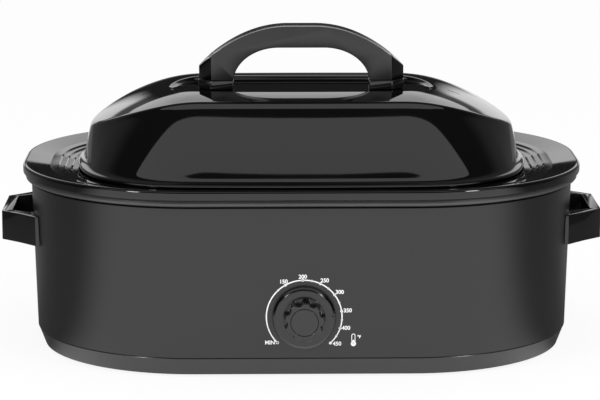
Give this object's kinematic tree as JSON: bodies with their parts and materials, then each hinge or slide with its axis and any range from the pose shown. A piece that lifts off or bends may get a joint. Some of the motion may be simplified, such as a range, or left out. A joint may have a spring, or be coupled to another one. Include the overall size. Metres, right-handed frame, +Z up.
{
  "type": "electric roaster oven",
  "caption": "Oblong black electric roaster oven with a lift-out pan and rack, a high lift-off lid with an arched grip, end handles and a turning heat dial.",
  "frame": {"origin": "middle of the whole object seen from above, knob included, on the surface the feet stand on", "axes": "+Z up, +X along the roaster to the right hand as seen from the dial side, -Y towards the cook, where the dial is"},
  "size_m": [0.581, 0.3886, 0.3074],
  "materials": {
    "casing_paint": "satin",
    "well_steel": "satin",
    "base_grey": "satin",
    "heater_mica": "matte",
    "zinc_steel": "satin",
    "glass_wool": "matte",
    "bright_steel": "bright",
    "foot_rubber": "matte",
    "gloss_phenolic": "gloss",
    "phenolic_brown": "satin",
    "brass": "satin",
    "ceramic_white": "matte",
    "wire_sleeve": "matte",
    "black_enamel": "gloss",
    "chrome_wire": "bright",
    "gloss_black_paint": "gloss",
    "satin_phenolic": "satin"
  },
  "bodies": {
    "oven": {"outer_casing": "casing_paint", "heating_well": "well_steel", "base_pan": "base_grey", "heating_band": "heater_mica", "band_clamp": "zinc_steel", "insulation": "glass_wool", "heat_shield": "bright_steel", "shield_posts": "bright_steel", "shield_screws": "zinc_steel", "tie_bolt": "zinc_steel", "foot_1": "foot_rubber", "foot_2": "foot_rubber", "foot_3": "foot_rubber", "foot_4": "foot_rubber", "foot_screws": "zinc_steel", "side_handle_left": "gloss_phenolic", "side_handle_right": "gloss_phenolic", "side_handle_screws": "zinc_steel", "thermostat_body": "phenolic_brown", "thermostat_bushing": "brass", "thermostat_bracket": "zinc_steel", "bracket_screws": "zinc_steel", "thermal_fuse": "bright_steel", "fuse_clip": "zinc_steel", "terminal_block": "ceramic_white", "lead_wires": "wire_sleeve", "cord_gland": "foot_rubber"},
    "pan": {"roasting_pan": "black_enamel"},
    "rack": {"rack_frame": "chrome_wire", "rack_cross_wires": "chrome_wire", "rack_loop_left": "chrome_wire", "rack_loop_right": "chrome_wire"},
    "lid": {"lid_shell": "gloss_black_paint", "lid_handle": "satin_phenolic", "handle_shoe_left": "gloss_phenolic", "handle_shoe_right": "gloss_phenolic", "lid_washers": "zinc_steel", "lid_handle_screws": "zinc_steel"},
    "dial": {"dial_knob": "satin_phenolic", "dial_shaft": "bright_steel", "knob_spring": "bright_steel"}
  },
  "joints": [
    {"name": "pan_lift", "type": "slide", "parent": "oven", "child": "pan", "axis": [0, 0, 1], "range_m": [0, 0.16]},
    {"name": "rack_lift", "type": "slide", "parent": "pan", "child": "rack", "axis": [0, 0, 1], "range_m": [0, 0.09]},
    {"name": "lid_lift", "type": "slide", "parent": "pan", "child": "lid", "axis": [0, 0, 1], "range_m": [0, 0.15]},
    {"name": "dial_turn", "type": "hinge", "parent": "oven", "child": "dial", "pos_m": [0, -0.1737, 0.0585], "axis": [0, 1, 0], "range_deg": [-212, 46]}
  ]
}
